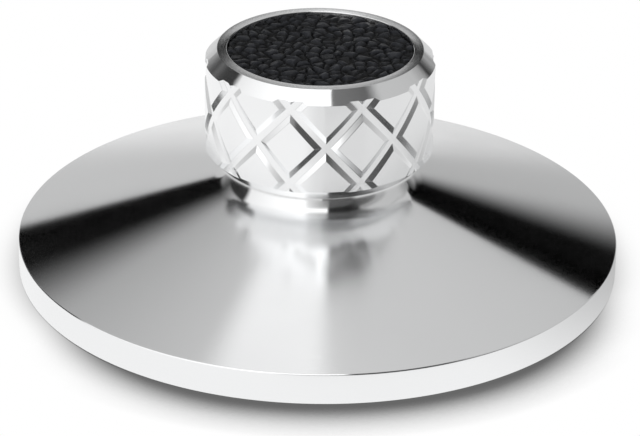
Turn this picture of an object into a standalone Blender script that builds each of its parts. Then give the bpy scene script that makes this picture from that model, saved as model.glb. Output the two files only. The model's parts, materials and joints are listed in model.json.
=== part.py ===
"""Record clamp: a turned aluminium disc that holds a record down on its platter, with a grip knob on top.

Metres, +Z up. The origin is on the clamp's axis, in the plane of the contact ring's lower face,
which is what lies on the record.
"""

import math

import bmesh
import bpy
from mathutils import Vector

# Fits
SEAT_GAP = 0.0003
CUTTER_OVERRUN = 0.0020

# Flange, the wide conical disc
FLANGE_RADIUS = 0.0500
RIM_HEIGHT = 0.0052
EDGE_BREAK = 0.0003
CONE_ANGLE = math.radians(16.3)
LABEL_RELIEF = 0.0010

# Neck, the waist between the flange and the knob
NECK_RADIUS = 0.0145
NECK_HEIGHT = 0.00346
NECK_FILLET = 0.0039
NECK_ROOT = 0.0030

# Knob
KNOB_OVERHANG = 0.00436
KNOB_HEIGHT = 0.01923
KNOB_LOW_CHAMFER = 0.0021
KNOB_TOP_CHAMFER = 0.0020
KNOB_TOP_LAND = 0.0016
KNOB_STOCK = 0.0006

# Crossed grooves, ten that wind one way and ten the other
GROOVE_COUNT = 10
GROOVE_ROW_RISE = 0.00643
GROOVE_DEPTH = 0.00042
GROOVE_WIDTH = 0.00276
GROOVE_FLOOR_WIDTH = 0.00106
GROOVE_TURN = math.radians(-86.4)

# Leather inlay in the top of the knob
INLAY_THICKNESS = 0.0014
INLAY_SUNK = 0.0004
INLAY_EDGE = 0.0003
RECESS_BREAK = 0.0002

# Contact ring, let into the underside near the rim
RIM_LAND = 0.0033
CONTACT_RING_WIDTH = 0.0084
CONTACT_RING_THICKNESS = 0.0012
CONTACT_RING_PROUD = 0.0001

# Spindle bush, pressed in from below
SPINDLE_BORE_RADIUS = 0.00365
BUSH_WALL = 0.0033
BUSH_LENGTH = 0.0150
BUSH_HEAD_WIDTH = 0.0025
BUSH_HEAD_HEIGHT = 0.0020

# Rubber ring inside the bush, which grips the spindle
GRIP_RING_SECTION_RADIUS = 0.0008
GRIP_RING_PROUD = 0.00012
GRIP_RING_HEIGHT = 0.0070

# Facets
FLANGE_SIDES = 96
KNOB_SIDES = 80
BUSH_SIDES = 40
FILLET_STEPS = 6
LAND_STEPS = 3
GRIP_RING_STEPS = 10
SHARP_EDGE = math.radians(25)

# Heights and radii that follow from the sizes above
RIM_BOTTOM = CONTACT_RING_PROUD
RIM_TOP = RIM_BOTTOM + RIM_HEIGHT
RELIEF_Z = RIM_BOTTOM + LABEL_RELIEF
NECK_CORNER = RIM_TOP + (FLANGE_RADIUS - NECK_RADIUS) * math.tan(CONE_ANGLE)
KNOB_BOTTOM = NECK_CORNER + NECK_HEIGHT
KNOB_TOP = KNOB_BOTTOM + KNOB_HEIGHT
KNOB_RADIUS = NECK_RADIUS + KNOB_OVERHANG
RECESS_RADIUS = KNOB_RADIUS - KNOB_TOP_CHAMFER - KNOB_TOP_LAND
INLAY_RADIUS = RECESS_RADIUS - SEAT_GAP
INLAY_BOTTOM = KNOB_TOP - INLAY_SUNK - INLAY_THICKNESS
CONTACT_RING_OUTER = FLANGE_RADIUS - RIM_LAND
CONTACT_RING_INNER = CONTACT_RING_OUTER - CONTACT_RING_WIDTH
BUSH_RADIUS = SPINDLE_BORE_RADIUS + BUSH_WALL
BUSH_HEAD_RADIUS = BUSH_RADIUS + BUSH_HEAD_WIDTH
GRIP_RING_CENTRE = SPINDLE_BORE_RADIUS - GRIP_RING_PROUD + GRIP_RING_SECTION_RADIUS

# The grooves on the unrolled side of the knob
GROOVE_PITCH = math.tau / GROOVE_COUNT
GROOVE_MIDDLE_Z = (KNOB_BOTTOM + KNOB_LOW_CHAMFER + KNOB_TOP - KNOB_TOP_CHAMFER) / 2
HALF_PITCH_ARC = KNOB_RADIUS * GROOVE_PITCH / 2
GROOVE_SPACING = 2 * HALF_PITCH_ARC * GROOVE_ROW_RISE / math.hypot(HALF_PITCH_ARC, GROOVE_ROW_RISE)
GROOVE_WALL_WIDTH = (GROOVE_WIDTH - GROOVE_FLOOR_WIDTH) / 2


def make_material(name, colour, roughness, metallic):
    """A Principled material for one kind of stock."""
    material = bpy.data.materials.new(name)
    material.use_nodes = True
    shader = material.node_tree.nodes["Principled BSDF"]
    shader.inputs["Base Color"].default_value = (*colour, 1.0)
    shader.inputs["Roughness"].default_value = roughness
    shader.inputs["Metallic"].default_value = metallic
    return material


def add_object(name, bm, material=None, parent=None, height=0.0):
    """Makes a named object of a bmesh, standing at a height on its parent's axis."""
    bmesh.ops.recalc_face_normals(bm, faces=bm.faces)
    mesh = bpy.data.meshes.new(name)
    bm.to_mesh(mesh)
    bm.free()
    mesh.shade_smooth()
    mesh.set_sharp_from_angle(angle=SHARP_EDGE)
    if material:
        mesh.materials.append(material)
    made = bpy.data.objects.new(name, mesh)
    made.parent = parent
    made.location.z = height
    bpy.context.scene.collection.objects.link(made)
    return made


def turned(outline, sides, ring=False):
    """A bmesh of an outline of (radius, z) points turned about the Z axis.

    The outline starts and ends on the axis, or closes on itself to make a ring.
    """
    bm = bmesh.new()
    points = [bm.verts.new((radius, 0.0, z)) for radius, z in outline]
    pairs = list(zip(points, points[1:]))
    if ring:
        pairs.append((points[-1], points[0]))
    edges = [bm.edges.new(pair) for pair in pairs]
    bmesh.ops.spin(
        bm,
        geom=points + edges,
        cent=(0, 0, 0),
        axis=(0, 0, 1),
        dvec=(0, 0, 0),
        angle=math.tau,
        steps=sides,
        use_merge=True,
    )
    bmesh.ops.remove_doubles(bm, verts=bm.verts, dist=1e-7)
    return bm


def as_helper(tool):
    """Hides an object that only cuts another one or is joined to it."""
    tool.hide_render = True
    tool.display_type = "WIRE"
    return tool


def combine(target, tool, operation):
    """Cuts the tool out of the target, or joins it on."""
    step = target.modifiers.new(tool.name, "BOOLEAN")
    step.operation = operation
    step.solver = "EXACT"
    step.object = tool


def fillet_outline():
    """The hollow corner between the cone and the neck, from the cone up."""
    half_corner = (math.pi / 2 - CONE_ANGLE) / 2
    largest = (NECK_HEIGHT - EDGE_BREAK) / math.tan(half_corner)
    radius = min(NECK_FILLET, largest)
    centre_radius = NECK_RADIUS + radius
    centre_z = NECK_CORNER + radius * math.tan(half_corner)
    points = []
    for step in range(FILLET_STEPS + 1):
        lean = CONE_ANGLE + 2 * half_corner * step / FILLET_STEPS
        points.append((centre_radius - radius * math.sin(lean), centre_z - radius * math.cos(lean)))
    return points


def flange_outline():
    """The underside, rim, cone and neck, with the blind hole for the bush."""
    bore_radius = BUSH_RADIUS + SEAT_GAP
    bore_roof = RELIEF_Z + BUSH_LENGTH + SEAT_GAP
    head_radius = BUSH_HEAD_RADIUS + SEAT_GAP
    head_seat = RELIEF_Z + BUSH_HEAD_HEIGHT + SEAT_GAP
    groove_roof = CONTACT_RING_THICKNESS + SEAT_GAP
    groove_inner = CONTACT_RING_INNER - SEAT_GAP
    groove_outer = CONTACT_RING_OUTER + SEAT_GAP
    return [
        (0.0, bore_roof),
        (bore_radius, bore_roof),
        (bore_radius, head_seat),
        (head_radius, head_seat),
        (head_radius, RELIEF_Z),
        (groove_inner, RELIEF_Z),
        (groove_inner, groove_roof),
        (groove_outer, groove_roof),
        (groove_outer, RIM_BOTTOM),
        (FLANGE_RADIUS - EDGE_BREAK, RIM_BOTTOM),
        (FLANGE_RADIUS, RIM_BOTTOM + EDGE_BREAK),
        (FLANGE_RADIUS, RIM_TOP - EDGE_BREAK),
        (FLANGE_RADIUS - EDGE_BREAK, RIM_TOP + EDGE_BREAK * math.tan(CONE_ANGLE)),
        *fillet_outline(),
        (NECK_RADIUS, KNOB_BOTTOM + NECK_ROOT),
        (0.0, KNOB_BOTTOM + NECK_ROOT),
    ]


def knob_outline():
    """The knob before its grooves, with stock left on its side for the grip cutter."""
    blank_radius = KNOB_RADIUS + KNOB_STOCK
    return [
        (0.0, KNOB_BOTTOM),
        (KNOB_RADIUS - KNOB_LOW_CHAMFER, KNOB_BOTTOM),
        (blank_radius, KNOB_BOTTOM + KNOB_LOW_CHAMFER + KNOB_STOCK),
        (blank_radius, KNOB_TOP - KNOB_TOP_CHAMFER - KNOB_STOCK),
        (KNOB_RADIUS - KNOB_TOP_CHAMFER, KNOB_TOP),
        (RECESS_RADIUS + RECESS_BREAK, KNOB_TOP),
        (RECESS_RADIUS, KNOB_TOP - RECESS_BREAK),
        (RECESS_RADIUS, INLAY_BOTTOM - SEAT_GAP),
        (0.0, INLAY_BOTTOM - SEAT_GAP),
    ]


def grid_lines():
    """Where the grip's grid lines run within one pitch, from the middle of one groove to the next.

    They lie in the middle of a groove's floor, along its two edges and across the land.
    """
    floor_edge = GROOVE_FLOOR_WIDTH / 2 / GROOVE_SPACING
    edge = GROOVE_WIDTH / 2 / GROOVE_SPACING
    land = [edge + (1 - 2 * edge) * step / LAND_STEPS for step in range(LAND_STEPS + 1)]
    return [0.0, floor_edge] + land + [1 - floor_edge]


def groove_depth(pitches):
    """How far the nearest groove of one hand goes in, at a place counted in pitches."""
    aside = abs(pitches - round(pitches)) * GROOVE_SPACING
    down_the_wall = (GROOVE_WIDTH / 2 - aside) / GROOVE_WALL_WIDTH
    return GROOVE_DEPTH * min(1.0, max(0.0, down_the_wall))


def grip_point(rising, falling):
    """The point of the grooved side where a line of each hand cross, counted in pitches."""
    turn = GROOVE_TURN + GROOVE_PITCH * (rising + falling) / 2
    z = GROOVE_MIDDLE_Z + GROOVE_ROW_RISE * (rising - falling)
    radius = KNOB_RADIUS - max(groove_depth(rising), groove_depth(falling))
    return Vector((radius * math.cos(turn), radius * math.sin(turn), z))


def grip_cutter():
    """A sleeve whose inside is the grooved side of the knob.

    Its grid follows both hands of grooves. Each cell is split along the diagonal that stands out more,
    which is the crest between two grooves where they meet.
    """
    lines = grid_lines()
    round_count = GROOVE_COUNT * len(lines)
    tiers = len(lines) * math.ceil(KNOB_HEIGHT / 2 / GROOVE_ROW_RISE + 1 / LAND_STEPS)

    def line_place(index):
        whole, step = divmod(index, len(lines))
        return whole + lines[step]

    bm = bmesh.new()
    grid = {}
    for index in range(round_count):
        for tier in range(-tiers, tiers + 1):
            grid[index, tier] = bm.verts.new(grip_point(line_place(index), line_place(index - tier)))
    for index in range(round_count):
        after = (index + 1) % round_count
        for tier in range(1 - tiers, tiers):
            left, right = grid[index, tier], grid[after, tier]
            above, below = grid[after, tier + 1], grid[index, tier - 1]
            if left.co.xy.length + right.co.xy.length > above.co.xy.length + below.co.xy.length + 1e-7:
                bm.faces.new((left, below, right))
                bm.faces.new((left, right, above))
            else:
                bm.faces.new((below, right, above))
                bm.faces.new((below, above, left))
    bmesh.ops.delete(bm, geom=[vert for vert in bm.verts if not vert.link_faces], context="VERTS")
    wall = bmesh.ops.extrude_face_region(bm, geom=bm.faces[:])
    for vert in wall["geom"]:
        if isinstance(vert, bmesh.types.BMVert):
            vert.co.xy = vert.co.xy.normalized() * (KNOB_RADIUS + KNOB_STOCK + CUTTER_OVERRUN)
    return bm


def make_body(material):
    """The body, turned from one bar: flange, neck and knob."""
    body = add_object("clamp_body", turned(flange_outline(), FLANGE_SIDES), material)
    knob = as_helper(add_object("knob_blank", turned(knob_outline(), KNOB_SIDES), parent=body))
    sleeve = as_helper(add_object("grip_sleeve", grip_cutter(), parent=body))
    combine(knob, sleeve, "DIFFERENCE")
    combine(body, knob, "UNION")
    return body


def make_inlay(material, body):
    """The leather disc in the knob's recess."""
    outline = [
        (0.0, 0.0),
        (INLAY_RADIUS, 0.0),
        (INLAY_RADIUS, INLAY_THICKNESS - INLAY_EDGE),
        (INLAY_RADIUS - INLAY_EDGE, INLAY_THICKNESS),
        (0.0, INLAY_THICKNESS),
    ]
    return add_object("leather_inlay", turned(outline, KNOB_SIDES), material, body, INLAY_BOTTOM)


def make_contact_ring(material, body):
    """The soft ring that lies on the record's label."""
    outline = [
        (CONTACT_RING_INNER, 0.0),
        (CONTACT_RING_OUTER, 0.0),
        (CONTACT_RING_OUTER, CONTACT_RING_THICKNESS),
        (CONTACT_RING_INNER, CONTACT_RING_THICKNESS),
    ]
    return add_object("contact_ring", turned(outline, FLANGE_SIDES, ring=True), material, body)


def make_bush(material, body):
    """The headed bush that takes the spindle, with a groove inside for the grip ring."""
    groove_radius = GRIP_RING_CENTRE + GRIP_RING_SECTION_RADIUS + SEAT_GAP
    groove_low = GRIP_RING_HEIGHT - GRIP_RING_SECTION_RADIUS - SEAT_GAP
    groove_high = GRIP_RING_HEIGHT + GRIP_RING_SECTION_RADIUS + SEAT_GAP
    outline = [
        (SPINDLE_BORE_RADIUS + EDGE_BREAK, 0.0),
        (BUSH_HEAD_RADIUS, 0.0),
        (BUSH_HEAD_RADIUS, BUSH_HEAD_HEIGHT),
        (BUSH_RADIUS, BUSH_HEAD_HEIGHT),
        (BUSH_RADIUS, BUSH_LENGTH),
        (SPINDLE_BORE_RADIUS, BUSH_LENGTH),
        (SPINDLE_BORE_RADIUS, groove_high),
        (groove_radius, groove_high),
        (groove_radius, groove_low),
        (SPINDLE_BORE_RADIUS, groove_low),
        (SPINDLE_BORE_RADIUS, EDGE_BREAK),
    ]
    return add_object("spindle_bush", turned(outline, BUSH_SIDES, ring=True), material, body, RELIEF_Z)


def make_grip_ring(material, bush):
    """The rubber ring in the bush's groove."""
    outline = []
    for step in range(GRIP_RING_STEPS):
        lean = math.tau * step / GRIP_RING_STEPS
        radius = GRIP_RING_CENTRE + GRIP_RING_SECTION_RADIUS * math.cos(lean)
        outline.append((radius, GRIP_RING_SECTION_RADIUS * math.sin(lean)))
    ring = turned(outline, BUSH_SIDES, ring=True)
    return add_object("spindle_grip_ring", ring, material, bush, GRIP_RING_HEIGHT)


def main():
    for old in list(bpy.data.objects):
        bpy.data.objects.remove(old)
    aluminium = make_material("turned_aluminium", (0.83, 0.84, 0.85), 0.18, 1.0)
    leather = make_material("black_leather", (0.022, 0.023, 0.026), 0.55, 0.0)
    felt = make_material("grey_felt", (0.09, 0.09, 0.10), 0.95, 0.0)
    brass = make_material("brass", (0.72, 0.55, 0.28), 0.30, 1.0)
    rubber = make_material("black_rubber", (0.02, 0.02, 0.02), 0.70, 0.0)
    body = make_body(aluminium)
    make_inlay(leather, body)
    make_contact_ring(felt, body)
    bush = make_bush(brass, body)
    make_grip_ring(rubber, bush)


main()
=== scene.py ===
import json
import math

import bmesh
import bpy
from mathutils import Matrix, Vector, noise

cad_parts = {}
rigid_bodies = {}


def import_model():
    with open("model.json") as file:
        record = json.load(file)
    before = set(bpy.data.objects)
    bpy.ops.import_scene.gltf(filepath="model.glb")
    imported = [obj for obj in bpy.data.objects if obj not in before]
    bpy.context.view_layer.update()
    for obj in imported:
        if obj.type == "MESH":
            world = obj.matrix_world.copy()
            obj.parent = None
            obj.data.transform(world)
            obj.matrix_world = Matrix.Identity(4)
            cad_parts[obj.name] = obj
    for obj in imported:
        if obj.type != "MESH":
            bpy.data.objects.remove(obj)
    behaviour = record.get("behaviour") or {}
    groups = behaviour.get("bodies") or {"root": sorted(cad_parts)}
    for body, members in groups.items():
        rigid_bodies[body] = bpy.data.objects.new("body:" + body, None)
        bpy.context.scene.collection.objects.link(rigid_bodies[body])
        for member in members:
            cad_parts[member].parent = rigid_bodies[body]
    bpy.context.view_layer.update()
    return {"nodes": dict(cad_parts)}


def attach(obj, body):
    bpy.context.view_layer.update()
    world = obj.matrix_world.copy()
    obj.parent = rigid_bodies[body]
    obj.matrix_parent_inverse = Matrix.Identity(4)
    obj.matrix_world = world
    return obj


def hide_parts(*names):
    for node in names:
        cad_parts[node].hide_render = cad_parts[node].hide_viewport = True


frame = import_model()
mm = 0.001
tiny = 1e-7    # lengths below this count as nothing
print("frame loaded:", ", ".join(sorted(frame["nodes"])))


# shared mesh helpers

# corners are (radius, z, rounding); gives (radius, z) points with the corners rounded
def roundedOutline(corners, steps=4):
    points = []
    for number, (r, z, rounding) in enumerate(corners):
        here = Vector((r, z))
        if not rounding:
            points.append(here)
            continue
        back = (Vector(corners[number - 1][:2]) - here).normalized()
        ahead = (Vector(corners[(number + 1) % len(corners)][:2]) - here).normalized()
        half = back.angle(ahead) / 2
        centre = here + (back + ahead).normalized() * rounding / math.sin(half)
        start = here + back * rounding / math.tan(half) - centre
        end = here + ahead * rounding / math.tan(half) - centre
        sweep = math.pi - 2 * half
        for step in range(steps + 1):
            share = step / steps
            arm = start * math.sin((1 - share) * sweep) + end * math.sin(share * sweep)
            points.append(centre + arm / math.sin(sweep))
    return points


def addLoop(bm, r, z, sides):
    turns = [math.tau * side / sides for side in range(sides)]
    return [bm.verts.new((r * math.cos(turn), r * math.sin(turn), z)) for turn in turns]


# faces between two loops, either of which may be a single vertex
def addSkin(bm, low, high, sides):
    for side in range(sides):
        after = (side + 1) % sides
        ends = [low[side % len(low)], low[after % len(low)]]
        ends += [high[after % len(high)], high[side % len(high)]]
        corners = list(dict.fromkeys(ends))    # a single vertex counts once
        if len(corners) > 2:
            bm.faces.new(corners)


# turns an outline about Z; a point on the axis becomes one vertex
def addTurned(bm, outline, sides, ring=False):
    loops = []
    for r, z in outline:
        loops.append([bm.verts.new((0, 0, z))] if r < tiny else addLoop(bm, r, z, sides))
    pairs = list(zip(loops, loops[1:]))
    if ring:
        pairs.append((loops[-1], loops[0]))
    for low, high in pairs:
        addSkin(bm, low, high, sides)


# a bmesh becomes a piece that rides on the clamp and stands for its CAD nodes
def finishPiece(name, bm, material, nodes, sharp=30):
    bmesh.ops.recalc_face_normals(bm, faces=bm.faces)
    mesh = bpy.data.meshes.new(name)
    bm.to_mesh(mesh)
    bm.free()
    mesh.shade_smooth()
    mesh.set_sharp_from_angle(angle=math.radians(sharp))
    mesh.materials.append(material)
    piece = bpy.data.objects.new(name, mesh)
    bpy.context.scene.collection.objects.link(piece)
    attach(piece, "root")
    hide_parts(*nodes)
    return piece


# shared node helpers

def newMaterial(name):
    material = bpy.data.materials.new(name)
    material.use_nodes = True
    return material, material.node_tree, material.node_tree.nodes["Principled BSDF"]


# an input is a value or another node's output
def addNode(tree, kind, inputs=None, **settings):
    node = tree.nodes.new(kind)
    for key, value in settings.items():
        setattr(node, key, value)
    for key, value in (inputs or {}).items():
        if isinstance(value, bpy.types.NodeSocket):
            tree.links.new(value, node.inputs[key])
        else:
            node.inputs[key].default_value = value
    return node


def calc(tree, operation, *values):
    inputs = dict(enumerate(values))
    return addNode(tree, "ShaderNodeMath", inputs, operation=operation).outputs[0]


def hypotenuse(tree, across, along):
    squares = calc(tree, "ADD", calc(tree, "POWER", across, 2), calc(tree, "POWER", along, 2))
    return calc(tree, "SQRT", squares)


def cloudNoise(tree, place, scale, detail, **more):
    inputs = {"Vector": place, "Scale": scale, "Detail": detail, **more}
    return addNode(tree, "ShaderNodeTexNoise", inputs).outputs[0]


# noise seldom leaves 0.3 to 0.7, so that range is spread from low to high
def spread(tree, cloud, low, high):
    return addNode(tree, "ShaderNodeMapRange", {"Value": cloud, 1: 0.3, 2: 0.7, 3: low, 4: high}).outputs[0]


def tinted(tree, colour, shade):
    return addNode(tree, "ShaderNodeVectorMath", {0: colour, "Scale": shade}, operation="SCALE").outputs[0]


# fine marks round the Z axis; lean is the share of the height that lets them run on over walls
def turningMarks(tree, place, lean, scale, detail):
    split = addNode(tree, "ShaderNodeSeparateXYZ", {0: place}).outputs
    along = calc(tree, "ADD", hypotenuse(tree, split[0], split[1]), calc(tree, "MULTIPLY", split[2], lean))
    inputs = {"W": along, "Scale": scale, "Detail": detail}
    return addNode(tree, "ShaderNodeTexNoise", inputs, noise_dimensions="1D").outputs[0]


# gloss that spreads across the turning marks
def setTurnedGloss(tree, shader, anisotropy):
    shader.inputs["Anisotropic"].default_value = anisotropy
    shader.inputs["Anisotropic Rotation"].default_value = 0.25    # a quarter turn from the tangent
    tangent = addNode(tree, "ShaderNodeTangent", direction_type="RADIAL", axis="Z")
    tree.links.new(tangent.outputs[0], shader.inputs["Tangent"])


# camera, from a fit to the circles of the photograph

shot = {
    "lookAt": (0.36 * mm, 0.0, 7.37 * mm),
    "distance": 513.28 * mm,
    "elevation": 26.36,
    "roll": 0.89,
    "lens": 172.41,
    "sensor": 36,
    "nearest": 10 * mm,
}


def addCamera():
    data = bpy.data.cameras.new("photoCamera")
    data.sensor_width = shot["sensor"]
    data.lens = shot["lens"]
    data.clip_start = shot["nearest"]
    camera = bpy.data.objects.new("photoCamera", data)
    tilt = math.radians(shot["elevation"])
    back = Vector((0, -math.cos(tilt), math.sin(tilt)))
    turn = Matrix.Rotation(math.radians(90 - shot["elevation"]), 4, "X")
    roll = Matrix.Rotation(math.radians(shot["roll"]), 4, back)
    place = Matrix.Translation(Vector(shot["lookAt"]) + back * shot["distance"])
    camera.matrix_world = place @ roll @ turn
    bpy.context.scene.collection.objects.link(camera)
    bpy.context.scene.camera = camera


addCamera()
print("camera set")


# turned aluminium, for the body

aluminium = {
    "colour": (0.915, 0.92, 0.925),
    "roughness": 0.12,
    "wear": (0.92, 1.1),            # least and most of the roughness
    "wearScale": 90.0,
    "anisotropy": 1.0,              # the turning marks spread light along the radius
    "edgeRounding": 0.07 * mm,
    "roundingSamples": 4,
    "toolMarks": 0.0012 * mm,       # height of the turning marks
    "marksPerMetre": 30000.0,
    "marksLean": 0.45,
}


def turnedAluminium():
    material, tree, shader = newMaterial("turnedAluminium")
    shader.inputs["Base Color"].default_value = (*aluminium["colour"], 1)
    shader.inputs["Metallic"].default_value = 1
    setTurnedGloss(tree, shader, aluminium["anisotropy"])
    place = addNode(tree, "ShaderNodeTexCoord").outputs["Object"]
    marks = turningMarks(tree, place, aluminium["marksLean"], aluminium["marksPerMetre"], 1.0)
    wear = cloudNoise(tree, place, aluminium["wearScale"], 3.0)
    low, high = [aluminium["roughness"] * share for share in aluminium["wear"]]
    tree.links.new(spread(tree, wear, low, high), shader.inputs["Roughness"])
    rounding = addNode(
        tree, "ShaderNodeBevel", {"Radius": aluminium["edgeRounding"]}, samples=aluminium["roundingSamples"],
    )
    bump = addNode(
        tree, "ShaderNodeBump",
        {"Strength": 1.0, "Distance": aluminium["toolMarks"], "Height": marks, "Normal": rounding.outputs[0]},
    )
    tree.links.new(bump.outputs[0], shader.inputs["Normal"])
    return material


# body: flange, neck and knob in one piece

flange = {
    "radius": 50.0 * mm,
    "rimBottom": 0.1 * mm,
    "rimTop": 5.3 * mm,
    "edgeRounding": 0.28 * mm,
    "coneAngle": 16.3,
    "sides": 360,
    "roundingSteps": 8,
}
neck = {
    "radius": 14.5 * mm,
    "top": 19.14 * mm,
    "fillet": 3.9 * mm,
    "topFillet": 0.1 * mm,
}
knob = {
    "radius": 18.86 * mm,
    "top": 38.37 * mm,
    "lowChamfer": 2.1 * mm,
    "topChamfer": 2.0 * mm,
    "recessRadius": 15.26 * mm,
    "recessFloor": 36.27 * mm,
    "recessEdge": 0.12 * mm,
    "recessFillet": 0.1 * mm,
    "cutTolerance": 1e-8,           # a point this close to an end's plane counts as on it
}
grooves = {
    "count": 10,
    "rowRise": 6.43 * mm,
    "depth": 0.42 * mm,
    "width": 2.76 * mm,             # at the knob's surface
    "floorWidth": 1.06 * mm,
    "rounding": 0.3 * mm,
    "turn": -86.4,
    "landSteps": 7,
    "guard": 0.03 * mm,             # a line this close to each land's edge keeps the shading true up to it
}
underside = {
    "reliefZ": 1.1 * mm,
    "ringInner": 38.0 * mm,
    "ringOuter": 47.0 * mm,
    "ringRoof": 1.5 * mm,
    "headRadius": 9.75 * mm,
    "headSeat": 3.4 * mm,
    "boreRadius": 7.25 * mm,
    "boreRoof": 16.4 * mm,
    "edgeRounding": 0.1 * mm,
}


def flangeOutline():
    rise = math.tan(math.radians(flange["coneAngle"]))
    neckCorner = flange["rimTop"] + (flange["radius"] - neck["radius"]) * rise
    corners = [
        (0, underside["boreRoof"], 0),
        (underside["boreRadius"], underside["boreRoof"], 0),
        (underside["boreRadius"], underside["headSeat"], 0),
        (underside["headRadius"], underside["headSeat"], 0),
        (underside["headRadius"], underside["reliefZ"], underside["edgeRounding"]),
        (underside["ringInner"], underside["reliefZ"], 0),
        (underside["ringInner"], underside["ringRoof"], 0),
        (underside["ringOuter"], underside["ringRoof"], 0),
        (underside["ringOuter"], flange["rimBottom"], underside["edgeRounding"]),
        (flange["radius"], flange["rimBottom"], flange["edgeRounding"]),
        (flange["radius"], flange["rimTop"], flange["edgeRounding"]),
        (neck["radius"], neckCorner, neck["fillet"]),
        (neck["radius"], neck["top"], neck["topFillet"]),
        (knob["radius"] - knob["lowChamfer"], neck["top"], 0),
    ]
    return roundedOutline(corners, flange["roundingSteps"])


def topOutline():
    corners = [
        (knob["radius"] - knob["topChamfer"], knob["top"], 0),
        (knob["recessRadius"], knob["top"], knob["recessEdge"]),
        (knob["recessRadius"], knob["recessFloor"], knob["recessFillet"]),
        (0, knob["recessFloor"], 0),
    ]
    return roundedOutline(corners)


# angle from one groove to the next, distance between them, and height of the middle of the side
def grooveSizes():
    pitch = math.tau / grooves["count"]
    arc = knob["radius"] * pitch / 2
    spacing = 2 * arc * grooves["rowRise"] / math.hypot(arc, grooves["rowRise"])
    middle = (neck["top"] + knob["lowChamfer"] + knob["top"] - knob["topChamfer"]) / 2
    return pitch, spacing, middle


# half of a groove's section, as (distance aside, depth) points from its middle to the land
def grooveSection():
    corners = [
        (0, grooves["depth"], 0),
        (grooves["floorWidth"] / 2, grooves["depth"], grooves["rounding"]),
        (grooves["width"] / 2, 0, grooves["rounding"]),
        (grooves["width"], 0, 0),
    ]
    return roundedOutline(corners)[:-1]


def grooveDepth(pitches, spacing, section):
    aside = abs(pitches - round(pitches)) * spacing
    for (inner, deep), (outer, shallow) in zip(section, section[1:]):
        if aside < outer:
            return deep + (shallow - deep) * (aside - inner) / (outer - inner)
    return 0.0


# radius of the grooved side and of the chamfers at a point's angle and height
def sideRadii(point):
    pitch, spacing, middle = grooveSizes()
    section = grooveSection()
    turn = (math.atan2(point.y, point.x) - math.radians(grooves["turn"])) / pitch
    rise = (point.z - middle) / (2 * grooves["rowRise"])
    depth = max(grooveDepth(turn + rise, spacing, section), grooveDepth(turn - rise, spacing, section))
    low = knob["radius"] - knob["lowChamfer"] + point.z - neck["top"]
    top = knob["radius"] - knob["topChamfer"] + knob["top"] - point.z
    return knob["radius"] - depth, min(low, top)


# where the grid's lines lie, as shares of the way from one groove to the next
def gridLines(spacing, section):
    hollow = [aside / spacing for aside, depth in section]
    guard = hollow[-1] + grooves["guard"] / spacing
    steps = grooves["landSteps"]
    land = [guard + (1 - 2 * guard) * step / steps for step in range(steps + 1)]
    return hollow + land + [1 - share for share in reversed(hollow[1:])]


# the knob's side on a grid that follows both hands of grooves
def addGrooveGrid(bm):
    pitch, spacing, middle = grooveSizes()
    section = grooveSection()
    lines = gridLines(spacing, section)
    around = grooves["count"] * len(lines)
    tiers = 2 * len(lines)

    def linePlace(index):
        whole, step = divmod(index, len(lines))
        return whole + lines[step]

    grid = {}
    for index in range(around):
        for tier in range(-tiers, tiers + 1):
            rising, falling = linePlace(index), linePlace(index - tier)
            turn = math.radians(grooves["turn"]) + pitch * (rising + falling) / 2
            z = middle + grooves["rowRise"] * (rising - falling)
            depth = max(grooveDepth(rising, spacing, section), grooveDepth(falling, spacing, section))
            r = knob["radius"] - depth
            grid[index, tier] = bm.verts.new((r * math.cos(turn), r * math.sin(turn), z))
    faces = []
    for index in range(around):
        after = (index + 1) % around
        for tier in range(1 - tiers, tiers):
            left, right = grid[index, tier], grid[after, tier]
            above, below = grid[after, tier + 1], grid[index, tier - 1]
            sideways = left.co.xy.length + right.co.xy.length
            upright = above.co.xy.length + below.co.xy.length
            if sideways > upright + tiny:
                faces += [bm.faces.new((left, below, right)), bm.faces.new((left, right, above))]
            else:
                faces += [bm.faces.new((below, right, above)), bm.faces.new((below, above, left))]
    return list(grid.values()), faces


# how far the chamfer lies outside the grooved side, below zero where the chamfer is the surface
def chamferRoom(vert):
    grooved, chamfer = sideRadii(vert.co)
    return chamfer - grooved


def drawIn(vert):
    vert.co.xy = vert.co.xy.normalized() * sideRadii(vert.co)[1]


# cuts the side along the chamfers and draws what is past them in; dictionaries keep the order, sets don't
def cutAtChamfers(verts, faces):
    room = {vert: chamferRoom(vert) for vert in verts}
    crossing = {}
    for edge in list(dict.fromkeys(edge for face in faces for edge in face.edges)):
        first, second = edge.verts
        if (room[first] < 0) == (room[second] < 0):
            continue
        share = room[first] / (room[first] - room[second])
        cut = bmesh.utils.edge_split(edge, first, share)[1]
        crossing[cut] = True
    for vert in verts:
        if room[vert] < 0:
            drawIn(vert)
    for vert in crossing:
        drawIn(vert)
    for face in list(dict.fromkeys(face for vert in crossing for face in vert.link_faces)):
        ends = [vert for vert in face.verts if vert in crossing]
        if len(ends) == 2:
            bmesh.utils.face_split(face, ends[0], ends[1])


def trimEnds(bm):
    for height, way in ((neck["top"], -1), (knob["top"], 1)):
        bmesh.ops.bisect_plane(
            bm, geom=bm.verts[:] + bm.edges[:] + bm.faces[:], dist=knob["cutTolerance"],
            plane_co=(0, 0, height), plane_no=(0, 0, way), clear_outer=True,
        )


def makeBody(material):
    bm = bmesh.new()
    verts, faces = addGrooveGrid(bm)
    cutAtChamfers(verts, faces)
    trimEnds(bm)
    addTurned(bm, flangeOutline(), flange["sides"])
    addTurned(bm, topOutline(), flange["sides"])
    return finishPiece("clampBody", bm, material, ["clamp_body"])


body = makeBody(turnedAluminium())
print("body:", len(body.data.polygons), "faces")


# leather inlay

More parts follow.
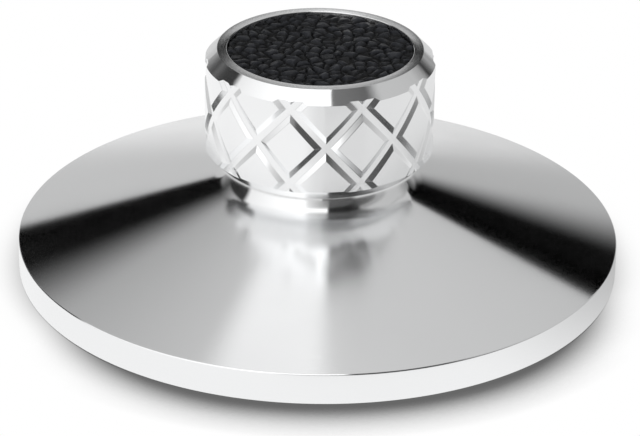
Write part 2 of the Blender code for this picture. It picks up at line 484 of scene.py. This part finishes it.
leather = {
    "radius": 15.2 * mm,
    "bottom": 36.57 * mm,
    "top": 38.25 * mm,
    "edge": 0.25 * mm,
    "rings": 130,
    "sides": 560,
    "pebble": 1.95 * mm,            # width of one pebble of the grain
    "pebbleHeight": 0.76 * mm,
    "pick": 0.37,                   # another value gives other pebbles
    "stray": ((0.9, 0.30), (2.3, 0.12)),    # how fast and how far the creases wander
    "shoulder": 0.9,                # how far in a pebble's side levels off
    "roundness": 0.8,
    "crown": 0.82,                  # height of a middling pebble, and how much they differ
    "crownRange": 0.18,
    "crownScale": 0.6,
    "wrinkle": 0.07,
    "wrinkleScale": 3.1,
    "colour": (0.027, 0.029, 0.035),
    "mottle": (0.75, 1.3),          # least and most of the colour
    "mottleScale": 260.0,
    "creaseShadeTone": 0.03,             # painted shade: share of the colour that is left in the creases
    "creaseShadeDepth": (0.92, 0.24),    # depths between which the painted crease shade fades in
    "dull": 0.30,                   # roughness of the pebbles' crowns
    "dullRange": (0.85, 1.25),
    "shine": 0.15,
    "poresPerMetre": 2600.0,
    "gritPerMetre": 5200.0,
    "gritShare": 0.5,               # how much the grit counts beside the pores
    "poreDepth": 0.06 * mm,
    "poreStrength": 0.45,
}


# how far a spot strays, so that the pebbles' edges aren't straight
# the two offsets only keep the noise across apart from the noise along
def stray(spot, scale, amount):
    across = noise.noise(spot * scale + Vector((17.3, 0, 0)))
    along = noise.noise(spot * scale + Vector((0, 31.7, 0)))
    return Vector((across, along, 0)) * amount


# height of the grain, from 0 in a crease to 1 on a pebble's crown
def pebbles(x, y):
    size = leather["pebble"]
    spot = Vector((x / size, y / size, leather["pick"]))
    broad, fine = leather["stray"]
    spot = spot + stray(spot, *broad) + stray(spot, *fine)
    near = noise.voronoi(spot)[0]
    inward = min(1, (near[1] - near[0]) / leather["shoulder"])
    dome = (1 - (1 - inward) ** 2) ** leather["roundness"]
    tall = leather["crown"] + leather["crownRange"] * noise.noise(spot * leather["crownScale"])
    return dome * tall + leather["wrinkle"] * noise.noise(spot * leather["wrinkleScale"])


def blackLeather():
    material, tree, shader = newMaterial("blackLeather")
    place = addNode(tree, "ShaderNodeTexCoord").outputs["Object"]
    tint = cloudNoise(tree, place, leather["mottleScale"], 4.0)
    height = addNode(tree, "ShaderNodeSeparateXYZ", {0: place}).outputs[2]
    foot, crown = [leather["top"] - leather["pebbleHeight"] * share for share in leather["creaseShadeDepth"]]
    # painted shade: the colour darkens from the crowns down into the creases, where shade falls; the mottle
    # beside it is the leather's own tone
    crease = addNode(
        tree, "ShaderNodeMapRange", {"Value": height, 1: foot, 2: crown, 3: leather["creaseShadeTone"], 4: 1.0},
    )
    mottleAndCreaseShade = calc(tree, "MULTIPLY", spread(tree, tint, *leather["mottle"]), crease.outputs[0])
    tree.links.new(tinted(tree, leather["colour"], mottleAndCreaseShade), shader.inputs["Base Color"])
    shader.inputs["Specular IOR Level"].default_value = leather["shine"]
    low, high = [leather["dull"] * share for share in leather["dullRange"]]
    tree.links.new(spread(tree, tint, low, high), shader.inputs["Roughness"])
    cells = addNode(
        tree, "ShaderNodeTexVoronoi", {"Vector": place, "Scale": leather["poresPerMetre"]},
        feature="DISTANCE_TO_EDGE",
    )
    grit = cloudNoise(tree, place, leather["gritPerMetre"], 3.0)
    pores = calc(tree, "ADD", cells.outputs[0], calc(tree, "MULTIPLY", grit, leather["gritShare"]))
    bump = addNode(
        tree, "ShaderNodeBump",
        {"Strength": leather["poreStrength"], "Distance": leather["poreDepth"], "Height": pores},
    )
    tree.links.new(bump.outputs[0], shader.inputs["Normal"])
    return material


def makeLeather(material):
    top, edge, sides = leather["top"], leather["edge"], leather["sides"]
    bm = bmesh.new()
    loops = [[bm.verts.new((0, 0, top))]]
    for ring in range(1, leather["rings"] + 1):
        loops.append(addLoop(bm, leather["radius"] * ring / leather["rings"], 0, sides))
    for vert in bm.verts:
        inset = leather["radius"] - vert.co.xy.length
        drop = edge * (1 - math.sqrt(max(0, 1 - max(0, 1 - inset / edge) ** 2)))
        vert.co.z = top - leather["pebbleHeight"] * (1 - pebbles(vert.co.x, vert.co.y)) - drop
    loops.append([bm.verts.new((vert.co.x, vert.co.y, leather["bottom"])) for vert in loops[-1]])
    loops.append([bm.verts.new((0, 0, leather["bottom"]))])
    for low, high in zip(loops, loops[1:]):
        addSkin(bm, low, high, sides)
    return finishPiece("leatherInlay", bm, material, ["leather_inlay"], sharp=60)


inlay = makeLeather(blackLeather())
print("leather:", len(inlay.data.polygons), "faces")


# underside: felt contact ring, brass bush and rubber grip ring

felt = {
    "inner": 38.3 * mm,
    "outer": 46.7 * mm,
    "top": 1.2 * mm,
    "edge": 0.3 * mm,
    "edgeBend": 0.3,                # where the rounded edge bends, as a share of it
    "nap": 0.05 * mm,               # how far the face dips between tufts
    "tuft": 0.7 * mm,
    "fineTufts": 2.7,               # how many fine tufts go to the width of a broad one
    "tuftShares": (0.5, 0.3),       # how much the broad and the fine ones count
    "sides": 720,
    "faceSteps": 24,
    "colour": (0.085, 0.085, 0.095),
    "mottle": (0.65, 1.4),
    "mottleScale": 700.0,
    "roughness": 0.95,
    "shine": 0.25,
    "sheen": 0.35,
    "sheenRoughness": 0.6,
    "fibresPerMetre": 6000.0,
    "fibreDepth": 0.08 * mm,
    "fibreStrength": 0.6,
}
bush = {
    "bottom": 1.1 * mm,
    "top": 16.1 * mm,
    "bore": 3.65 * mm,
    "radius": 6.95 * mm,
    "headRadius": 9.45 * mm,
    "headTop": 3.1 * mm,
    "grooveRadius": 5.43 * mm,
    "grooveBottom": 7.0 * mm,
    "grooveTop": 9.2 * mm,
    "edge": 0.25 * mm,
    "sides": 128,
    "colour": (0.74, 0.57, 0.29),
    "mottle": (0.9, 1.06),
    "mottleScale": 140.0,
    "roughness": 0.27,
    "wear": (1.25, 0.85),           # of the roughness, where the colour is darkest and lightest
    "anisotropy": 0.6,
    "marksPerMetre": 5200.0,
    "marksLean": 1.7,
    "marksDepth": 0.05 * mm,
    "marksStrength": 0.05,
}
gripRing = {
    "middleRadius": 4.33 * mm,
    "section": 0.8 * mm,
    "height": 8.1 * mm,
    "sides": 128,
    "sectionSides": 24,
    "colour": (0.022, 0.022, 0.023),
    "mottle": (0.8, 1.3),
    "mottleScale": 900.0,
    "roughness": 0.55,
    "dullRange": (0.85, 1.15),
    "skinDepth": 0.03 * mm,
    "skinStrength": 0.15,
}


def greyFelt():
    material, tree, shader = newMaterial("greyFelt")
    place = addNode(tree, "ShaderNodeTexCoord").outputs["Object"]
    cloud = cloudNoise(tree, place, felt["mottleScale"], 6.0, Roughness=0.7)
    shade = spread(tree, cloud, *felt["mottle"])
    tree.links.new(tinted(tree, felt["colour"], shade), shader.inputs["Base Color"])
    shader.inputs["Roughness"].default_value = felt["roughness"]
    shader.inputs["Specular IOR Level"].default_value = felt["shine"]
    shader.inputs["Sheen Weight"].default_value = felt["sheen"]
    shader.inputs["Sheen Roughness"].default_value = felt["sheenRoughness"]
    fibres = cloudNoise(tree, place, felt["fibresPerMetre"], 4.0, Distortion=1.5)
    bump = addNode(
        tree, "ShaderNodeBump",
        {"Strength": felt["fibreStrength"], "Distance": felt["fibreDepth"], "Height": fibres},
    )
    tree.links.new(bump.outputs[0], shader.inputs["Normal"])
    return material


def turnedBrass():
    material, tree, shader = newMaterial("turnedBrass")
    shader.inputs["Metallic"].default_value = 1
    setTurnedGloss(tree, shader, bush["anisotropy"])
    place = addNode(tree, "ShaderNodeTexCoord").outputs["Object"]
    cloud = cloudNoise(tree, place, bush["mottleScale"], 4.0)
    shade = spread(tree, cloud, *bush["mottle"])
    tree.links.new(tinted(tree, bush["colour"], shade), shader.inputs["Base Color"])
    dark, light = [bush["roughness"] * share for share in bush["wear"]]
    tree.links.new(spread(tree, cloud, dark, light), shader.inputs["Roughness"])
    marks = turningMarks(tree, place, bush["marksLean"], bush["marksPerMetre"], 2.0)
    bump = addNode(
        tree, "ShaderNodeBump",
        {"Strength": bush["marksStrength"], "Distance": bush["marksDepth"], "Height": marks},
    )
    tree.links.new(bump.outputs[0], shader.inputs["Normal"])
    return material


def blackRubber():
    material, tree, shader = newMaterial("blackRubber")
    place = addNode(tree, "ShaderNodeTexCoord").outputs["Object"]
    cloud = cloudNoise(tree, place, gripRing["mottleScale"], 3.0)
    shade = spread(tree, cloud, *gripRing["mottle"])
    tree.links.new(tinted(tree, gripRing["colour"], shade), shader.inputs["Base Color"])
    low, high = [gripRing["roughness"] * share for share in gripRing["dullRange"]]
    tree.links.new(spread(tree, cloud, low, high), shader.inputs["Roughness"])
    bump = addNode(
        tree, "ShaderNodeBump",
        {"Strength": gripRing["skinStrength"], "Distance": gripRing["skinDepth"], "Height": cloud},
    )
    tree.links.new(bump.outputs[0], shader.inputs["Normal"])
    return material


def makeContactRing(material):
    edge, bend, steps = felt["edge"], felt["edge"] * felt["edgeBend"], felt["faceSteps"]
    inner, outer, top = felt["inner"], felt["outer"], felt["top"]
    face = [(inner + edge + (outer - inner - 2 * edge) * step / steps, 0) for step in range(steps + 1)]
    innerEdge = [(inner, edge), (inner + bend, bend)]
    outerEdge = [(outer - bend, bend), (outer, edge)]
    broadShare, fineShare = felt["tuftShares"]
    bm = bmesh.new()
    addTurned(bm, innerEdge + face + outerEdge + [(outer, top), (inner, top)], felt["sides"], ring=True)
    for vert in bm.verts:
        if vert.co.z < edge / 2:
            broad = noise.noise(vert.co / felt["tuft"]) * broadShare
            fine = noise.noise(vert.co * felt["fineTufts"] / felt["tuft"]) * fineShare
            vert.co.z += felt["nap"] * min(1, max(0, 0.5 + (broad + fine)))
    return finishPiece("contactRing", bm, material, ["contact_ring"], sharp=50)


def makeBush(material):
    edge = bush["edge"]
    corners = [
        (bush["bore"], bush["bottom"], edge),
        (bush["headRadius"], bush["bottom"], edge),
        (bush["headRadius"], bush["headTop"], edge / 2),
        (bush["radius"], bush["headTop"], 0),
        (bush["radius"], bush["top"], edge),
        (bush["bore"], bush["top"], edge),
        (bush["bore"], bush["grooveTop"], 0),
        (bush["grooveRadius"], bush["grooveTop"], 0),
        (bush["grooveRadius"], bush["grooveBottom"], 0),
        (bush["bore"], bush["grooveBottom"], 0),
    ]
    bm = bmesh.new()
    addTurned(bm, roundedOutline(corners), bush["sides"], ring=True)
    return finishPiece("spindleBush", bm, material, ["spindle_bush"])


def makeGripRing(material):
    outline = []
    for step in range(gripRing["sectionSides"]):
        lean = math.tau * step / gripRing["sectionSides"]
        across, up = gripRing["section"] * math.cos(lean), gripRing["section"] * math.sin(lean)
        outline.append((gripRing["middleRadius"] + across, gripRing["height"] + up))
    bm = bmesh.new()
    addTurned(bm, outline, gripRing["sides"], ring=True)
    return finishPiece("gripRing", bm, material, ["spindle_grip_ring"])


makeContactRing(greyFelt())
makeBush(turnedBrass())
makeGripRing(blackRubber())
print("underside pieces made")


# floor and studio

# hub: the y of the direction that a panel's edges run to; reach: distance from it, from and to
# turn: from the front (-Y) round the hub in degrees, to the right positive, from and to
# soft: width of the four edges; light: at the first and last turn
studio = {
    "base": 0.30,                   # what surrounds the panels
    "panels": {
        "flags": {
            "hub": 0.90, "turn": (-181, 181), "reach": (-1, 0.55),
            "soft": (1, 1, 0.1, 0.1), "light": (0, 0),
        },
        "flagLeft": {
            "hub": 0.90, "turn": (-140, -40), "reach": (-1, 3),
            "soft": (1, 1, 0.1, 0.1), "light": (0, 0),
        },
        "flagRight": {
            "hub": 0.90, "turn": (50, 140), "reach": (-1, 3),
            "soft": (1, 1, 0.1, 0.1), "light": (0, 0),
        },
        "edgeLeft": {
            "hub": 0.896, "turn": (-92, -72), "reach": (0.5, 3),
            "soft": (1, 1, 0.1, 0.1), "light": (0.70, 0.03),
        },
        "dimLeft": {
            "hub": 0.896, "turn": (-72, -44), "reach": (0.62, 3),
            "soft": (1, 1, 0.1, 0.1), "light": (0.015, 0.06),
        },
        "edgeRight": {
            "hub": 0.896, "turn": (73.5, 92), "reach": (0.5, 3),
            "soft": (1.5, 1, 0.1, 0.1), "light": (0.04, 0.68),
        },
        "hubDim": {
            "hub": 0.919, "turn": (-181, 181), "reach": (-1, 0.15),
            "soft": (0.1, 0.1, 0.1, 0.03), "light": (0.03, 0.03),
        },
        "hubFront": {
            "hub": 0.919, "turn": (-72, 63), "reach": (-1, 0.16),
            "soft": (6, 8, 0.1, 0.03), "light": (0.62, 0.66),
        },
        "hubStrip": {
            "hub": 1.60, "turn": (-2.4, 2.2), "reach": (0.5, 0.665),
            "soft": (1.0, 1.2, 0.05, 0.02), "light": (0.62, 0.62),
        },
        "ceilingLeft": {
            "hub": 0.87, "turn": (-69, 2), "reach": (-1, 0.78),
            "soft": (22, 1, 0.1, 0.1), "light": (0.46, 0.86),
        },
        "ceilingRight": {
            "hub": 0.85, "turn": (2, 71.8), "reach": (-1, 0.82),
            "soft": (1, 1, 0.1, 0.1), "light": (0.82, 0.70),
        },
        "sideRightEnd": {
            "hub": 0.896, "turn": (58, 74.5), "reach": (0.72, 3),
            "soft": (2, 1.5, 0.06, 0.1), "light": (0.64, 0.30),
        },
        "frontSlit": {
            "hub": 0.896, "turn": (6, 34), "reach": (0.85, 1.34),
            "soft": (1, 10, 0.1, 0.04), "light": (0.32, 0.10),
        },
        "frontSlitLow": {
            "hub": 0.896, "turn": (4, 27), "reach": (1.34, 3),
            "soft": (1, 4, 0.04, 0.1), "light": (0.02, 0.02),
        },
        "slitFoot": {
            "hub": 0.90, "turn": (5, 24), "reach": (1.70, 3),
            "soft": (1, 4, 0.04, 0.1), "light": (0.13, 0.12),
        },
        "sideRight": {
            "hub": 0.896, "turn": (29.5, 62), "reach": (0.85, 3),
            "soft": (10, 10, 0.1, 0.1), "light": (0.72, 0.66),
        },
        "sideRightLow": {
            "hub": 0.896, "turn": (28, 60), "reach": (1.32, 3),
            "soft": (5, 8, 0.1, 0.1), "light": (0.42, 0.56),
        },
        "frontLeft": {
            "hub": 0.896, "turn": (-49.7, 6), "reach": (0.85, 3),
            "soft": (5, 1.5, 0.1, 0.1), "light": (1.12, 1.8),
        },
        "frontFoot": {
            "hub": 0.90, "turn": (-8, 7), "reach": (1.68, 3),
            "soft": (5, 1.5, 0.1, 0.1), "light": (1.1, 0.3),
        },
        "streak": {
            "hub": 0.90, "turn": (-21, 2), "reach": (-1, 0.53),
            "soft": (9, 1, 0.1, 0.1), "light": (1.32, 1.32),
        },
        "lowRight": {
            "hub": 0.90, "turn": (23, 41), "reach": (1.5, 3),
            "soft": (8, 6, 0.1, 0.1), "light": (0.10, 0.22),
        },
        "wallLeft": {
            "hub": 0.96, "turn": (-181, -78), "reach": (-1, 3),
            "soft": (0.1, 1.5, 0.1, 0.1), "light": (0.66, 0.72),
        },
        "wallRight": {
            "hub": 0.96, "turn": (79, 181), "reach": (-1, 3),
            "soft": (14, 0.1, 0.1, 0.1), "light": (0.57, 0.70),
        },
    },
}
# turns are from the front to the right; a span has from, to and the two widths over which it fades
floor = {
    "size": 8.0,
    "colour": 0.80,                 # what lights the clamp from below
    "seen": 1.0,                    # what the camera sees
    "shadowReach": 11 * mm,
    "shadowTurn": 8,                # where the shadow is deepest
    "shadowFade": (20, 70),         # how far from there it thins
    "shadowPower": (5.0, 0.8),      # how steeply it darkens there, and past the fade
    "shadowLift": 1.15,
    "shadowDarkest": 0.135,
    "shadowSamples": 16,
    # painted reflection and shade: for mirrored rays the floor glows by place, darker over the turns to the
    # right
    "rimLight": 0.95,               # painted reflection: the floor's glow for the rim, close by
    "rimLightRight": 0.53,
    "rimRightSpan": (60, 140, 60, 60),
    "knobFrom": (62 * mm, 68 * mm),
    "knobLight": 0.98,              # painted reflection: the floor's glow for the knob, further out
    "knobLightRight": (0.75, 0.84),     # painted reflection with painted shade on the right, at the two distances below
    "knobRightRise": (65 * mm, 95 * mm),
    "knobRightSpan": (-7, 164, 16, 28),
    # painted reflection further out: a dimmer glow, with a dark painted patch over the turns in farDarkSpan
    "farFrom": (115 * mm, 135 * mm),
    "farLight": 0.68,
    "farDark": 0.02,
    "farDarkSpan": (5, 44, 2, 10),
}


def ramp(tree, value, low, high, lowResult=0.0, highResult=1.0, smooth=True):
    kind = "SMOOTHSTEP" if smooth else "LINEAR"
    inputs = {"Value": value, 1: low, 2: high, 3: lowResult, 4: highResult}
    return addNode(tree, "ShaderNodeMapRange", inputs, interpolation_type=kind).outputs[0]


# 1 between low and high, fading over the two soft widths
def band(tree, value, low, high, lowSoft, highSoft):
    rise = ramp(tree, value, low - lowSoft / 2, low + lowSoft / 2)
    fall = ramp(tree, value, high - highSoft / 2, high + highSoft / 2, 1.0, 0.0)
    return calc(tree, "MULTIPLY", rise, fall)


def blend(tree, share, first, second):
    return addNode(tree, "ShaderNodeMix", {0: share, 2: first, 3: second}).outputs[0]


def addWorld():
    world = bpy.data.worlds.new("studio")
    bpy.context.scene.world = world
    world.use_nodes = True
    tree = world.node_tree
    tree.nodes.clear()
    way = addNode(tree, "ShaderNodeTexCoord").outputs["Generated"]
    split = addNode(tree, "ShaderNodeSeparateXYZ", {0: way}).outputs
    total = studio["base"]
    for panel in studio["panels"].values():
        forward = calc(tree, "SUBTRACT", panel["hub"], split[1])
        turn = calc(tree, "DEGREES", calc(tree, "ARCTAN2", split[0], forward))
        reach = hypotenuse(tree, split[0], forward)
        across = band(tree, turn, *panel["turn"], *panel["soft"][:2])
        along = band(tree, reach, *panel["reach"], *panel["soft"][2:])
        light = ramp(tree, turn, *panel["turn"], *panel["light"], smooth=False)
        total = blend(tree, calc(tree, "MULTIPLY", across, along), total, light)
    background = addNode(tree, "ShaderNodeBackground", {"Strength": total})
    output = addNode(tree, "ShaderNodeOutputWorld")
    tree.links.new(background.outputs[0], output.inputs[0])


# painted reflection: the floor glows for mirrored rays, brighter or darker by place, with painted shade on
# the right; the rim sees it close by, the knob further out
def paintedFloorReflection(tree, turn, reach):
    rim = blend(tree, band(tree, turn, *floor["rimRightSpan"]), floor["rimLight"], floor["rimLightRight"])
    right = ramp(tree, reach, *floor["knobRightRise"], *floor["knobLightRight"], smooth=False)
    middle = blend(tree, band(tree, turn, *floor["knobRightSpan"]), floor["knobLight"], right)
    near = blend(tree, ramp(tree, reach, *floor["knobFrom"]), rim, middle)
    far = blend(tree, band(tree, turn, *floor["farDarkSpan"]), floor["farLight"], floor["farDark"])
    return blend(tree, ramp(tree, reach, *floor["farFrom"]), near, far)


# what the camera sees of the floor, with the clamp's shadow
def shadedFloor(tree, turn):
    occlusion = addNode(
        tree, "ShaderNodeAmbientOcclusion", {"Distance": floor["shadowReach"]},
        samples=floor["shadowSamples"],
    )
    aside = calc(tree, "ABSOLUTE", calc(tree, "SUBTRACT", turn, floor["shadowTurn"]))
    power = ramp(tree, aside, *floor["shadowFade"], *floor["shadowPower"])
    shade = calc(tree, "POWER", occlusion.outputs["AO"], power)
    shade = calc(tree, "MINIMUM", calc(tree, "MULTIPLY", shade, floor["shadowLift"]), 1.0)
    return calc(tree, "MULTIPLY", calc(tree, "MAXIMUM", shade, floor["shadowDarkest"]), floor["seen"])


def paleFloor():
    material = bpy.data.materials.new("paleFloor")
    material.use_nodes = True
    tree = material.node_tree
    tree.nodes.clear()
    path = addNode(tree, "ShaderNodeLightPath").outputs
    mirrored = calc(tree, "MAXIMUM", path["Is Glossy Ray"], path["Is Transmission Ray"])
    position = addNode(tree, "ShaderNodeNewGeometry").outputs["Position"]
    place = addNode(tree, "ShaderNodeSeparateXYZ", {0: position}).outputs
    turn = calc(tree, "DEGREES", calc(tree, "ARCTAN2", place[0], calc(tree, "MULTIPLY", place[1], -1.0)))
    paintedReflection = paintedFloorReflection(tree, turn, hypotenuse(tree, place[0], place[1]))
    # the floor's emission is painted: a white floor with the clamp's shadow for the camera, the painted
    # reflection for mirrored rays
    strength = blend(tree, path["Is Camera Ray"], paintedReflection, shadedFloor(tree, turn))
    diffuse = addNode(tree, "ShaderNodeBsdfDiffuse", {"Color": (floor["colour"],) * 3 + (1,)})
    glow = addNode(tree, "ShaderNodeEmission", {"Strength": strength})
    glows = calc(tree, "MAXIMUM", mirrored, path["Is Camera Ray"])
    both = addNode(tree, "ShaderNodeMixShader", {0: glows, 1: diffuse.outputs[0], 2: glow.outputs[0]})
    output = addNode(tree, "ShaderNodeOutputMaterial")
    tree.links.new(both.outputs[0], output.inputs[0])
    return material


def addFloor():
    bm = bmesh.new()
    bmesh.ops.create_grid(bm, x_segments=8, y_segments=8, size=floor["size"] / 2)
    mesh = bpy.data.meshes.new("floor")
    bm.to_mesh(mesh)
    bm.free()
    mesh.materials.append(paleFloor())
    sheet = bpy.data.objects.new("floor", mesh)
    bpy.context.scene.collection.objects.link(sheet)


addWorld()
addFloor()
bpy.context.scene.view_settings.view_transform = "Standard"
print("studio set")
